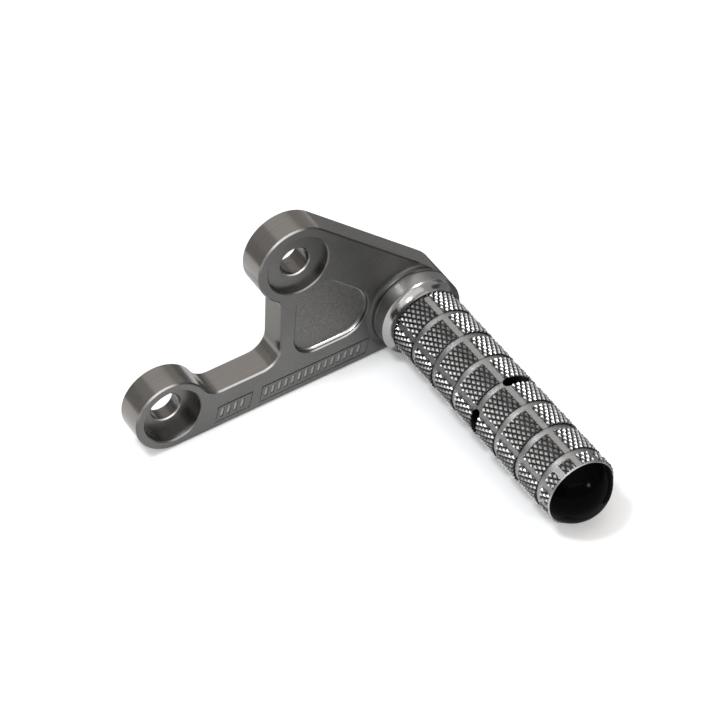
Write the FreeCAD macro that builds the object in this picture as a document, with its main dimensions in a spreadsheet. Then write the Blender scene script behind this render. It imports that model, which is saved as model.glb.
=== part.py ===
"""Rigid footpeg on its rearset bracket, left as it is bolted to the side of a motorbike.

The bracket is one milled plate that stands in the XZ plane. Its mounting face is at Y = 0 and its
outer face looks along -Y, where the knurled peg points. The origin is where the axis of the arm's
fixing bore meets the mounting face. Lengths are in millimetres and angles in degrees.
"""
import FreeCAD, Part
import math
import os
import Sketcher

DRIVING_SIZES = {
    # plate
    "plate_thickness": 10.5,
    "edge_chamfer": 0.5,
    "rear_chamfer": 0.1,
    "peg_axis_x": 87.4,
    "end_radius": 14.6,
    # boss at the end of the arm
    "arm_boss_radius": 13.1,
    "arm_counterbore_radius": 10.0,
    "arm_counterbore_depth": 5.2,
    "arm_height": 14.6,
    "arm_boss_fillet": 6.2,
    # upper boss
    "upper_boss_x": 49.5,
    "upper_boss_z": 38.6,
    "upper_boss_radius": 14.2,
    "upper_counterbore_radius": 10.7,
    "upper_counterbore_depth": 2.3,
    # both fixing bores
    "fixing_bore_radius": 5.05,
    "rim_chamfer": 0.4,
    # inner edge of the neck between the bosses
    "neck_distance": 48.0,
    "neck_lean": 7.1,
    "arm_neck_fillet": 7.5,
    "neck_boss_fillet": 3.6,
    # low round pad that carries the peg
    "pad_height": 2.3,
    "pad_fillet": 1.5,
    "seam_chamfer": 0.3,
    # shallow pocket between the bores and the peg
    "pocket_depth": 1.5,
    "pocket_floor_fillet": 1.0,
    "pocket_bottom_wall": 13.5,
    "pocket_top_wall": 15.1,
    "pocket_left_distance": 42.9,
    "pocket_left_lean": 9.3,
    "pocket_pad_land": 0.15,
    "pocket_left_radius": 7.0,
    "pocket_bore_land": 0.6,
    # engraved panels along the lower edge
    "engraving_depth": 0.3,
    "engraving_line": 0.5,
    "panel_rise": 2.2,
    "panel_height": 6.2,
    "long_panel_x": 29.6,
    "long_panel_length": 40.0,
    "short_panel_x": 13.4,
    "short_panel_length": 13.0,
    "bar_pitch": 2.45,
    "bar_width": 1.2,
    "bar_height": 3.2,
    "bar_margin": 2.2,
    "slant": 0.35,
    # peg barrel, measured from its seat on the pad
    "barrel_radius": 12.5,
    "barrel_length": 98.5,
    "flange_inset": 0.05,
    "flange_width": 4.7,
    "cove_length": 3.3,
    "grip_start": 8.8,
    "end_chamfer": 0.7,
    "spigot_radius": 8.0,
    "spigot_length": 3.0,
    "base_web": 11.0,
    "barrel_bore_radius": 9.5,
    # ring grooves, long grooves, end notches and slots of the grip
    "groove_width": 2.4,
    "groove_depth": 0.85,
    "first_groove": 19.55,
    "groove_pitch": 12.18,
    "long_groove_width": 2.1,
    "long_groove_depth": 0.7,
    "slot_width": 3.3,
    "slot_arc": 49.0,
    "slot_start": 4.5,
    # screw, lock washer and their clearances
    "screw_radius": 5.0,
    "screw_length": 25.0,
    "screw_head_radius": 8.0,
    "screw_head_height": 10.0,
    "screw_edge": 0.8,
    "hex_width": 8.0,
    "hex_depth": 5.0,
    "thread_gap": 0.1,
    "screw_clearance": 0.3,
    "washer_radius": 9.0,
    "washer_thickness": 2.2,
    "washer_split": 1.0,
    "spigot_gap": 0.05,
    # end plug
    "dome_radius": 11.5,
    "dome_height": 7.2,
    "plug_gap": 0.1,
    "plug_length": 10.0,
    "plug_lead": 0.8,
}
RING_GROOVE_COUNT = 7
LONG_GROOVE_COUNT = 6
SLOT_COUNT = 3
LONG_PANEL_BAR_COUNT = 15
SHORT_PANEL_BAR_COUNT = 4


class Size:
    """A size that carries its value and the formula of sheet cells that it comes from."""

    def __init__(self, value, formula):
        self.value = value
        self.formula = formula

    def __add__(self, other):
        return combine(self, "+", other)

    def __sub__(self, other):
        return combine(self, "-", other)

    def __mul__(self, other):
        return combine(self, "*", other)

    def __truediv__(self, other):
        return combine(self, "/", other)

    def __neg__(self):
        return combine(self, "*", -1.0)


def combine(left, sign, right):
    """Value and formula of two sizes, or of a size and a plain number, put together."""
    if not isinstance(right, Size):
        right = Size(float(right), "(" + repr(float(right)) + ")")
    formula = "(" + left.formula + " " + sign + " " + right.formula + ")"
    if sign == "+":
        return Size(left.value + right.value, formula)
    if sign == "-":
        return Size(left.value - right.value, formula)
    if sign == "*":
        return Size(left.value * right.value, formula)
    return Size(left.value / right.value, formula)


doc = FreeCAD.newDocument("rearset_footpeg")
sheet = doc.addObject("Spreadsheet::Sheet", "sizes")
for row, (word, number) in enumerate(DRIVING_SIZES.items(), start=1):
    sheet.set("A%d" % row, word)
    sheet.set("B%d" % row, str(number))
    sheet.setAlias("B%d" % row, word)
doc.recompute()


def size(word):
    """The driving size of that name."""
    return Size(DRIVING_SIZES[word], "sizes." + word)


ZERO = Size(0.0, "0")

# Places that several pieces share, as distances in front of the mounting face.
front = size("plate_thickness")
peg_x = size("peg_axis_x")
peg_z = size("end_radius") - size("arm_boss_radius")
seat = front + size("pad_height")
recess_depth = size("spigot_length") + size("spigot_gap")
barrel_end = seat + size("barrel_length")
web_face = seat + size("base_web")
head_seat = web_face + size("washer_thickness")


def vector(x, y, z=0.0):
    return FreeCAD.Vector(x, y, z)


def bind(item, path, amount):
    """Ties a property of an object to the sheet."""
    item.setExpression(path, amount.formula)


def new_body(name, on_peg_axis=True):
    """An empty body whose label names the piece and its file.

    What belongs to the peg is drawn about the body's own Y axis, which then lies on the peg's axis.
    """
    body = doc.addObject("PartDesign::Body", name)
    body.Label = name
    if on_peg_axis:
        bind(body, "Placement.Base.x", peg_x)
        bind(body, "Placement.Base.z", peg_z)
    return body


def origin_part(body, role):
    """One of the body's own origin planes or axes."""
    return [item for item in body.Origin.OriginFeatures if item.Role == role][0]


def new_sketch(body, name, role, offset=None, shift=None, turn=None):
    """A sketch on one of the body's origin planes.

    offset moves it along its normal, shift along its own second axis, and turn is the axis and
    the angle that it is tilted by.
    """
    sketch = body.newObject("Sketcher::SketchObject", name)
    sketch.AttachmentSupport = [(origin_part(body, role), "")]
    sketch.MapMode = "FlatFace"
    if turn is not None:
        axis, angle = turn
        sketch.AttachmentOffset = FreeCAD.Placement(vector(0, 0), FreeCAD.Rotation(axis, angle.value))
        bind(sketch, "AttachmentOffset.Rotation.Angle", angle)
    if shift is not None:
        bind(sketch, "AttachmentOffset.Base.y", shift)
    if offset is not None:
        bind(sketch, "AttachmentOffset.Base.z", offset)
    return sketch


def hold(sketch, kind, *places, amount=None):
    """Adds a constraint and, where it has a value, ties that to the sheet."""
    if amount is None:
        sketch.addConstraint(Sketcher.Constraint(kind, *places))
        return
    number = math.radians(amount.value) if kind == "Angle" else amount.value
    index = sketch.addConstraint(Sketcher.Constraint(kind, *places, number))
    bind(sketch, "Constraints[%d]" % index, amount)


def hold_point(sketch, geometry, end, x, y):
    """Fixes a point at x and y from the sketch's origin."""
    if x is ZERO:
        hold(sketch, "PointOnObject", geometry, end, -2)
    else:
        hold(sketch, "DistanceX", -1, 1, geometry, end, amount=x)
    if y is ZERO:
        hold(sketch, "PointOnObject", geometry, end, -1)
    else:
        hold(sketch, "DistanceY", -1, 1, geometry, end, amount=y)


def add_circle(sketch, x, y, radius):
    """A circle with its centre and radius tied to the sheet."""
    circle = Part.Circle(vector(x.value, y.value), vector(0, 0, 1), radius.value)
    index = sketch.addGeometry(circle)
    if x is ZERO and y is ZERO:
        hold(sketch, "Coincident", index, 3, -1, 1)
    else:
        hold_point(sketch, index, 3, x, y)
    hold(sketch, "Radius", index, amount=radius)


class Chain:
    """A closed outline of lines and arcs in a sketch, each starting where the last one ends."""

    def __init__(self, sketch):
        self.sketch = sketch
        self.pieces = []

    def line(self, start, end):
        index = self.sketch.addGeometry(Part.LineSegment(start, end))
        self.pieces.append((index, 1, 2))
        return index

    def arc(self, centre, start, end, radius, turn=1):
        """An arc about centre, anticlockwise where turn is +1 and clockwise where it is -1.

        Its radius is held where it is a size of the sheet, and follows from the rest where it is
        a plain number.
        """
        held = isinstance(radius, Size)
        angles = [math.atan2(point.y - centre.y, point.x - centre.x) for point in (start, end)]
        if turn < 0:
            angles.reverse()
        circle = Part.Circle(centre, vector(0, 0, 1), radius.value if held else radius)
        index = self.sketch.addGeometry(Part.ArcOfCircle(circle, angles[0], angles[1]))
        self.pieces.append((index, 1, 2) if turn > 0 else (index, 2, 1))
        if held:
            hold(self.sketch, "Radius", index, amount=radius)
        return index

    def close(self, kind):
        """Joins the pieces end to end: Coincident leaves corners and Tangent leaves none."""
        for number, (index, _, last) in enumerate(self.pieces):
            after, first, _ = self.pieces[(number + 1) % len(self.pieces)]
            hold(self.sketch, kind, index, last, after, first)


def add_outline(sketch, corners, arcs=None):
    """A closed outline through corners, each of two sizes, counted in their order.

    arcs gives the radius and the turn of the stretches that are round, by their first corner.
    """
    arcs = arcs or {}
    chain = Chain(sketch)
    for number, corner in enumerate(corners):
        start = vector(corner[0].value, corner[1].value)
        following = corners[(number + 1) % len(corners)]
        end = vector(following[0].value, following[1].value)
        if number in arcs:
            radius, turn = arcs[number]
            chain.arc(arc_centre(start, end, radius.value, turn), start, end, radius, turn)
        else:
            chain.line(start, end)
    chain.close("Coincident")
    for (index, first, _), corner in zip(chain.pieces, corners):
        hold_point(sketch, index, first, *corner)


def arc_centre(start, end, radius, turn):
    """Centre of the shorter arc from start to end with that radius and turn."""
    chord = end - start
    side = vector(-chord.y, chord.x)
    side.normalize()
    rise = math.sqrt(max(radius * radius - chord.Length ** 2 / 4.0, 0.0))
    return start + chord * 0.5 + side * (rise * turn)


class Edge:
    """A straight edge: the points whose distance along its unit normal is reach."""

    def __init__(self, angle, point, distance):
        self.normal = vector(math.cos(math.radians(angle)), math.sin(math.radians(angle)))
        self.reach = point.dot(self.normal) + distance

    def foot(self, point):
        """The point of the edge that is nearest to point."""
        return point + self.normal * (self.reach - point.dot(self.normal))


def meet_edges(first, second, radius):
    """Centre of the circle inside both edges that touches them. A negative radius is outside."""
    a = first.reach - radius
    b = second.reach - radius
    across = first.normal.x * second.normal.y - first.normal.y * second.normal.x
    x = (a * second.normal.y - b * first.normal.y) / across
    y = (b * first.normal.x - a * second.normal.x) / across
    return vector(x, y)


def touching_radius(first, second, centre, clear):
    """Radius of the circle inside both edges that touches them and the circle clear about centre."""
    corner = meet_edges(first, second, 0.0) - centre
    inward = (first.normal + second.normal) * -1
    inward.normalize()
    reach = -1.0 / inward.dot(first.normal)
    a = reach * reach - 1.0
    half_b = reach * corner.dot(inward) - clear
    c = corner.dot(corner) - clear * clear
    return (math.sqrt(half_b * half_b - a * c) - half_b) / a


def meet_circle(edge, radius, centre, reach, towards):
    """Centre of the fillet outside an edge and outside a circle, on the side that towards names."""
    base = centre + edge.normal * (edge.reach + radius - centre.dot(edge.normal))
    along = vector(-edge.normal.y, edge.normal.x)
    if along.dot(towards) < 0:
        along = along * -1
    gap = (base - centre).Length
    return base + along * math.sqrt((reach + radius) ** 2 - gap ** 2)


# First places of the plate's outlines. The constraints then hold them where the sheet says.
ARM = vector(0, 0)
PEG = vector(peg_x.value, peg_z.value)
UPPER = vector(size("upper_boss_x").value, size("upper_boss_z").value)


def top_edge():
    """The straight edge that touches the round end of the plate and the upper boss."""
    line = UPPER - PEG
    swing = math.acos((size("end_radius") - size("upper_boss_radius")).value / line.Length)
    angle = math.degrees(math.atan2(line.y, line.x) - swing)
    return Edge(angle, PEG, size("end_radius").value)


def floor_edge(height):
    """The level line at that height above the plate's lower edge, with its normal downwards."""
    return Edge(-90.0, ARM, (size("arm_boss_radius") - height).value)


def leaning_edge(lean, distance):
    """The line left of the peg's axis that leans by that angle, with its normal to the left."""
    return Edge(180.0 - lean.value, PEG, distance.value)


def draw_plate(sketch):
    """Outline of the plate: arm boss, round end, upper boss and the open corner between them."""
    arm_radius = size("arm_boss_radius")
    upper_radius = size("upper_boss_radius")
    boss_fillet = size("arm_boss_fillet")
    corner_fillet = size("arm_neck_fillet")
    neck_fillet = size("neck_boss_fillet")
    top = top_edge()
    neck = leaning_edge(size("neck_lean"), size("neck_distance"))
    ledge = Edge(90.0, ARM, (size("arm_height") - arm_radius).value)
    bay = meet_circle(ledge, boss_fillet.value, ARM, arm_radius.value, vector(1, 0))
    corner = meet_edges(ledge, neck, -corner_fillet.value)
    nook = meet_circle(neck, neck_fillet.value, UPPER, upper_radius.value, vector(0, -1))
    bay_touch = bay * (arm_radius.value / bay.Length)
    nook_touch = UPPER + (nook - UPPER) * (upper_radius.value / (nook - UPPER).Length)
    arm_foot = vector(0, -arm_radius.value)
    peg_foot = PEG + vector(0, -size("end_radius").value)
    chain = Chain(sketch)
    chain.line(arm_foot, peg_foot)
    end = chain.arc(PEG, peg_foot, top.foot(PEG), size("end_radius"))
    chain.line(top.foot(PEG), top.foot(UPPER))
    crown = chain.arc(UPPER, top.foot(UPPER), nook_touch, upper_radius)
    chain.arc(nook, nook_touch, neck.foot(nook), neck_fillet, -1)
    inner = chain.line(neck.foot(nook), neck.foot(corner))
    chain.arc(corner, neck.foot(corner), ledge.foot(corner), corner_fillet, -1)
    shelf = chain.line(ledge.foot(corner), ledge.foot(bay))
    chain.arc(bay, ledge.foot(bay), bay_touch, boss_fillet, -1)
    boss = chain.arc(ARM, bay_touch, arm_foot, arm_radius)
    chain.close("Tangent")
    hold(sketch, "Coincident", boss, 3, -1, 1)
    hold_point(sketch, end, 3, peg_x, peg_z)
    hold_point(sketch, crown, 3, size("upper_boss_x"), size("upper_boss_z"))
    hold(sketch, "Horizontal", shelf)
    hold(sketch, "DistanceY", -1, 1, shelf, 1, amount=size("arm_height") - arm_radius)
    hold(sketch, "Distance", end, 3, inner, amount=size("neck_distance"))
    hold(sketch, "Angle", inner, amount=-(size("neck_lean") + 90.0))


def draw_pocket(sketch):
    """Outline of the shallow pocket: level floor line, slope along the top edge, leaning side.

    Its round nose leaves a narrow land between its broken rim and the pad's fillet, and its round
    top leaves one before the rim of the upper counterbore.
    """
    pad_clear = size("end_radius") + size("pad_fillet") + size("rim_chamfer") + size("pocket_pad_land")
    bore_clear = size("upper_counterbore_radius") + size("rim_chamfer") * 2.0 + size("pocket_bore_land")
    left_radius = size("pocket_left_radius")
    outer = top_edge()
    inner = top_edge()
    inner.reach = inner.reach - size("pocket_top_wall").value
    level = floor_edge(size("pocket_bottom_wall"))
    side = leaning_edge(size("pocket_left_lean"), size("pocket_left_distance"))
    nose_round = touching_radius(level, inner, PEG, pad_clear.value)
    top_round = touching_radius(inner, side, UPPER, bore_clear.value)
    right = meet_edges(level, inner, nose_round)
    high = meet_edges(inner, side, top_round)
    left = meet_edges(side, level, left_radius.value)
    chain = Chain(sketch)
    base = chain.line(level.foot(left), level.foot(right))
    nose = chain.arc(right, level.foot(right), inner.foot(right), nose_round)
    slope = chain.line(inner.foot(right), inner.foot(high))
    top = chain.arc(high, inner.foot(high), side.foot(high), top_round)
    flank = chain.line(side.foot(high), side.foot(left))
    chain.arc(left, side.foot(left), level.foot(left), left_radius)
    chain.close("Tangent")
    hold(sketch, "Horizontal", base)
    rise = size("pocket_bottom_wall") - size("arm_boss_radius")
    hold(sketch, "DistanceY", -1, 1, base, 1, amount=rise)
    hold(sketch, "Angle", flank, amount=-(size("pocket_left_lean") + 90.0))
    circles = []
    for centre, radius in ((UPPER, size("upper_boss_radius")), (PEG, size("end_radius"))):
        circle = Part.Circle(centre, vector(0, 0, 1), radius.value)
        circles.append(sketch.addGeometry(circle, True))
        hold(sketch, "Radius", circles[-1], amount=radius)
    hold_point(sketch, circles[0], 3, size("upper_boss_x"), size("upper_boss_z"))
    hold_point(sketch, circles[1], 3, peg_x, peg_z)
    hold(sketch, "Distance", circles[1], 3, flank, amount=size("pocket_left_distance"))
    for arc, circle, centre, clear in ((top, circles[0], UPPER, bore_clear),
                                       (nose, circles[1], PEG, pad_clear)):
        around = sketch.addGeometry(Part.Circle(centre, vector(0, 0, 1), clear.value), True)
        hold(sketch, "Coincident", around, 3, circle, 3)
        hold(sketch, "Radius", around, amount=clear)
        hold(sketch, "Tangent", arc, around)
    edge = sketch.addGeometry(Part.LineSegment(outer.foot(UPPER), outer.foot(PEG)), True)
    for end, circle in enumerate(circles, start=1):
        hold(sketch, "Tangent", edge, end, circle)
    hold(sketch, "Parallel", slope, edge)
    hold(sketch, "Distance", edge, 1, slope, amount=size("pocket_top_wall"))


def draw_panel(sketch, x, length, bars):
    """An engraved frame with slanting ends and a row of slanting bars in it."""
    low = size("panel_rise") - size("arm_boss_radius")
    height = size("panel_height")
    line = size("engraving_line")
    add_slanted(sketch, x, low, length, height)
    inner_x = x + line + line * size("slant")
    add_slanted(sketch, inner_x, low + line, length - line * 2.0, height - line * 2.0)
    bar_low = low + (height - size("bar_height")) / 2.0
    for number in range(bars):
        place = x + size("bar_margin") + size("bar_pitch") * number
        add_slanted(sketch, place, bar_low, size("bar_width"), size("bar_height"))


def add_slanted(sketch, x, y, length, height):
    """A parallelogram on a level base, leaning by the slant that all of the engraving has."""
    lean = height * size("slant")
    corners = [(x, y), (x + length, y), (x + length + lean, y + height), (x + lean, y + height)]
    add_outline(sketch, corners)


def extrude(body, kind, name, sketch, amount=None):
    """A pad or a pocket of the sketch. Without an amount it goes through everything."""
    feature = body.newObject("PartDesign::" + kind, name)
    feature.Profile = sketch
    if amount is None:
        feature.Type = "ThroughAll"
    else:
        bind(feature, "Length", amount)
    doc.recompute()
    return feature


def revolve(body, kind, name, sketch, axis, angle=None):
    """A turned solid or a turned cut about one of the sketch's own axes."""
    feature = body.newObject("PartDesign::" + kind, name)
    feature.Profile = sketch
    feature.ReferenceAxis = (sketch, [axis])
    if angle is None:
        feature.Angle = 360.0
    else:
        bind(feature, "Angle", angle)
    doc.recompute()
    return feature


def repeat_around(body, name, features, count):
    """Repeats features evenly about the body's own Y axis."""
    pattern = body.newObject("PartDesign::PolarPattern", name)
    pattern.Originals = features
    pattern.Axis = (origin_part(body, "Y_Axis"), [""])
    pattern.Angle = 360.0
    pattern.Occurrences = count
    body.Tip = pattern
    doc.recompute()
    return pattern


def in_plane(edge, y):
    """True where every point of the edge has that Y."""
    return abs(edge.BoundBox.YMin - y) < 1e-4 and abs(edge.BoundBox.YMax - y) < 1e-4


def edges_at(feature, y):
    """Names of a feature's edges in the plane at Y."""
    edges = enumerate(feature.Shape.Edges, start=1)
    return ["Edge%d" % number for number, edge in edges if in_plane(edge, y)]


def new_edges(feature, before, y):
    """Names of a feature's edges in the plane at Y that the shape before it didn't have."""
    old = [edge.CenterOfMass for edge in before.Shape.Edges if in_plane(edge, y)]
    names = []
    for number, edge in enumerate(feature.Shape.Edges, start=1):
        if in_plane(edge, y) and all((edge.CenterOfMass - place).Length > 1e-3 for place in old):
            names.append("Edge%d" % number)
    return names


def dress(body, kind, name, feature, names, amount):
    """A chamfer or a fillet on the named edges of a feature."""
    item = body.newObject("PartDesign::" + kind, name)
    item.Base = (feature, names)
    bind(item, "Size" if kind == "Chamfer" else "Radius", amount)
    doc.recompute()
    return item


def make_bracket():
    """The milled plate with its two bored bosses, the pad for the peg and the shallow pocket."""
    body = new_body("bracket", on_peg_axis=False)
    outline = new_sketch(body, "plate_outline", "XZ_Plane")
    draw_plate(outline)
    plate = extrude(body, "Pad", "plate", outline, front)
    rear = dress(body, "Chamfer", "rear_edges", plate, edges_at(plate, 0.0), size("rear_chamfer"))
    rims = edges_at(rear, -front.value)
    dress(body, "Chamfer", "front_edges", rear, rims, size("edge_chamfer"))
    raised = add_pad(body)
    bored = add_bores(body, raised)
    add_pocket(body, bored)
    add_engraving(body)
    return body


def add_pad(body):
    """The low round pad with its fillet, and the recess and the tapped hole that take the peg."""
    fillet = size("pad_fillet")
    radius = size("end_radius")
    root = front - size("edge_chamfer") * 1.2
    profile = new_sketch(body, "pad_profile", "YZ_Plane", offset=peg_x, shift=peg_z)
    seam = size("seam_chamfer")
    corners = [(-root, ZERO), (-root, radius + fillet), (-front, radius + fillet),
               (-(front + fillet), radius), (-(seat - seam), radius), (-seat, radius - seam), (-seat, ZERO)]
    add_outline(profile, corners, {2: (fillet, -1)})
    revolve(body, "Revolution", "pad", profile, "H_Axis")

    # What the fillet adds beyond the plate's outline is cut off level with its side.
    margin = radius * 2.0
    trim = new_sketch(body, "pad_trim", "XZ_Plane", offset=seat)
    draw_plate(trim)
    left = -margin
    right = peg_x + margin
    low = -margin
    high = size("upper_boss_z") + margin
    add_outline(trim, [(left, low), (right, low), (right, high), (left, high)])
    extrude(body, "Pocket", "pad_trimming", trim, seat - root)

    recess = new_sketch(body, "recess_circle", "XZ_Plane", offset=seat)
    add_circle(recess, peg_x, peg_z, size("spigot_radius") + size("spigot_gap"))
    extrude(body, "Pocket", "spigot_recess", recess, recess_depth)
    hole = new_sketch(body, "tapped_circle", "XZ_Plane", offset=seat)
    add_circle(hole, peg_x, peg_z, size("screw_radius") + size("thread_gap"))
    return extrude(body, "Pocket", "tapped_hole", hole)


def add_bores(body, before):
    """The two fixing bores with their counterbores and broken rims."""
    bosses = (("arm", ZERO, ZERO), ("upper", size("upper_boss_x"), size("upper_boss_z")))
    for word, x, z in bosses:
        ring = new_sketch(body, word + "_counterbore_circle", "XZ_Plane", offset=front)
        add_circle(ring, x, z, size(word + "_counterbore_radius"))
        extrude(body, "Pocket", word + "_counterbore", ring, size(word + "_counterbore_depth"))
    holes = new_sketch(body, "bore_circles", "XZ_Plane", offset=front)
    for word, x, z in bosses:
        add_circle(holes, x, z, size("fixing_bore_radius"))
    bored = extrude(body, "Pocket", "fixing_bores", holes)
    names = new_edges(bored, before, -front.value)
    bore_radius = size("fixing_bore_radius").value
    for number, edge in enumerate(bored.Shape.Edges, start=1):
        ring = isinstance(edge.Curve, Part.Circle) and abs(edge.Curve.Radius - bore_radius) < 1e-4
        if ring and edge.BoundBox.YMax < -1e-4 and edge.BoundBox.YLength < 1e-4:
            names.append("Edge%d" % number)
    return dress(body, "Chamfer", "bore_rims", bored, names, size("rim_chamfer"))


def add_pocket(body, before):
    """The shallow pocket with a fillet round its floor and a broken rim."""
    outline = new_sketch(body, "pocket_outline", "XZ_Plane", offset=front)
    draw_pocket(outline)
    pocket = extrude(body, "Pocket", "pocket", outline, size("pocket_depth"))
    floor = new_edges(pocket, before, -(front - size("pocket_depth")).value)
    filleted = dress(body, "Fillet", "pocket_floor", pocket, floor, size("pocket_floor_fillet"))
    rim = new_edges(filleted, before, -front.value)
    return dress(body, "Chamfer", "pocket_rim", filleted, rim, size("rim_chamfer"))


def add_engraving(body):
    """Two plain engraved panels above the lower edge."""
    panels = (("long", LONG_PANEL_BAR_COUNT), ("short", SHORT_PANEL_BAR_COUNT))
    for word, bars in panels:
        sketch = new_sketch(body, word + "_panel_outline", "XZ_Plane", offset=front)
        draw_panel(sketch, size(word + "_panel_x"), size(word + "_panel_length"), bars)
        extrude(body, "Pocket", word + "_panel", sketch, size("engraving_depth"))


def make_peg_barrel():
    """The turned barrel of the peg with its flange, its grooves, its slots and its bore."""
    body = new_body("peg_barrel")
    radius = size("barrel_radius")
    flange = size("end_radius") - size("flange_inset")
    seam = size("seam_chamfer")
    edge = size("end_chamfer")
    cove_end = seat + size("flange_width") + size("cove_length")
    drop = flange - radius
    cove = (drop * drop + size("cove_length") * size("cove_length")) / (drop * 2.0)
    profile = new_sketch(body, "barrel_profile", "XY_Plane")
    root = seat - size("spigot_length")
    corners = [(ZERO, -root), (size("spigot_radius"), -root),
               (size("spigot_radius"), -seat), (flange - seam, -seat), (flange, -(seat + seam)),
               (flange, -(seat + size("flange_width"))), (radius, -cove_end), (radius, -(barrel_end - edge)),
               (radius - edge, -barrel_end), (ZERO, -barrel_end)]
    add_outline(profile, corners, {5: (cove, 1)})
    revolve(body, "Revolution", "barrel", profile, "V_Axis")
    add_ring_grooves(body)
    add_long_grooves(body)
    add_barrel_bore(body)
    add_slots(body)
    return body


def add_ring_grooves(body):
    """Square ring grooves, evenly spaced along the grip."""
    radius = size("barrel_radius")
    half = size("groove_width") / 2.0
    middle = seat + size("first_groove")
    outer = radius + size("groove_depth")
    inner = radius - size("groove_depth")
    profile = new_sketch(body, "ring_groove_profile", "XY_Plane")
    add_outline(profile, [(inner, -(middle + half)), (outer, -(middle + half)),
                          (outer, -(middle - half)), (inner, -(middle - half))])
    groove = revolve(body, "Groove", "ring_groove", profile, "V_Axis")
    pattern = body.newObject("PartDesign::LinearPattern", "ring_grooves")
    pattern.Originals = [groove]
    pattern.Direction = (origin_part(body, "Y_Axis"), [""])
    pattern.Reversed = True
    bind(pattern, "Length", size("groove_pitch") * (RING_GROOVE_COUNT - 1))
    pattern.Occurrences = RING_GROOVE_COUNT
    body.Tip = pattern
    doc.recompute()


def draw_groove(sketch, half, start, past):
    """Outline of a groove along -Y with a round start about the point at start."""
    chain = Chain(sketch)
    right = vector(half.value, -start.value)
    left = vector(-half.value, -start.value)
    nose = chain.arc(vector(0, -start.value), right, left, half.value)
    side = chain.line(left, vector(-half.value, -past.value))
    end = chain.line(vector(-half.value, -past.value), vector(half.value, -past.value))
    chain.line(vector(half.value, -past.value), right)
    chain.close("Coincident")
    hold_point(sketch, nose, 3, ZERO, -start)
    hold_point(sketch, nose, 1, half, -start)
    hold(sketch, "DistanceY", -1, 1, nose, 2, amount=-start)
    hold_point(sketch, side, 2, -half, -past)
    hold_point(sketch, end, 2, half, -past)


def add_long_grooves(body):
    """Flat-bottomed grooves along the grip, and notches between them in its last row."""
    half = size("long_groove_width") / 2.0
    floor = size("barrel_radius") - size("long_groove_depth")
    rise = size("long_groove_depth") * 2.0
    start = seat + size("grip_start") + half
    past = barrel_end + half
    last_groove = seat + size("first_groove") + size("groove_pitch") * (RING_GROOVE_COUNT - 1)
    outline = new_sketch(body, "end_notch_outline", "XY_Plane", offset=floor)
    add_outline(outline, [(half, -last_groove), (-half, -last_groove), (-half, -past), (half, -past)])
    notch = extrude(body, "Pocket", "end_notch", outline, rise)
    notch.Reversed = True
    repeat_around(body, "end_notches", [notch], LONG_GROOVE_COUNT * 2)

    outline = new_sketch(body, "long_groove_outline", "XY_Plane", offset=floor)
    draw_groove(outline, half, start, past)
    groove = extrude(body, "Pocket", "long_groove", outline, rise)
    groove.Reversed = True
    repeat_around(body, "long_grooves", [groove], LONG_GROOVE_COUNT)


def add_barrel_bore(body):
    """The blind bore from the open end and the hole for the screw in the web that it leaves."""
    bore = new_sketch(body, "bore_circle", "XZ_Plane", offset=barrel_end)
    add_circle(bore, ZERO, ZERO, size("barrel_bore_radius"))
    extrude(body, "Pocket", "barrel_bore", bore, barrel_end - web_face)
    hole = new_sketch(body, "screw_hole_circle", "XZ_Plane", offset=barrel_end)
    add_circle(hole, ZERO, ZERO, size("screw_radius") + size("screw_clearance"))
    extrude(body, "Pocket", "screw_hole", hole)


def add_slots(body):
    """Three slots round the middle ring groove, with round ends, that open into the bore."""
    half = size("slot_width") / 2.0
    middle = seat + size("first_groove") + size("groove_pitch") * (RING_GROOVE_COUNT // 2)
    inner = size("barrel_bore_radius") - half
    outer = size("barrel_radius") + half
    begin = size("slot_start")
    stretch = new_sketch(body, "slot_profile", "YZ_Plane", turn=(vector(1, 0), begin))
    add_outline(stretch, [(-(middle + half), inner), (-(middle - half), inner),
                          (-(middle - half), outer), (-(middle + half), outer)])
    cuts = [revolve(body, "Groove", "slot_stretch", stretch, "H_Axis", size("slot_arc"))]
    for word, angle in (("first", begin), ("second", begin + size("slot_arc"))):
        circle = new_sketch(body, word + "_slot_end_circle", "XY_Plane", turn=(vector(0, 1), angle))
        add_circle(circle, ZERO, -middle, half)
        end = extrude(body, "Pocket", word + "_slot_end", circle, outer)
        end.Reversed = True
        cuts.append(end)
    repeat_around(body, "slots", cuts, SLOT_COUNT)


def make_peg_screw():
    """The socket head screw that pulls the barrel onto the pad."""
    body = new_body("peg_screw")
    edge = size("screw_edge")
    shank = size("screw_radius")
    head = size("screw_head_radius")
    head_end = head_seat + size("screw_head_height")
    tip = head_seat - size("screw_length")
    profile = new_sketch(body, "screw_profile", "XY_Plane")
    add_outline(profile, [(ZERO, -tip), (shank - edge, -tip), (shank, -(tip + edge)), (shank, -head_seat),
                          (head, -head_seat), (head, -(head_end - edge)), (head - edge, -head_end),
                          (ZERO, -head_end)])
    revolve(body, "Revolution", "screw", profile, "V_Axis")
    half = size("hex_width") / 2.0
    corner = half / math.cos(math.pi / 6.0)
    socket = new_sketch(body, "hexagon", "XZ_Plane", offset=head_end)
    corners = [(corner, ZERO), (corner / 2.0, half), (-(corner / 2.0), half),
               (-corner, ZERO), (-(corner / 2.0), -half), (corner / 2.0, -half)]
    add_outline(socket, corners)
    extrude(body, "Pocket", "hexagon_socket", socket, size("hex_depth"))
    return body


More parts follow.
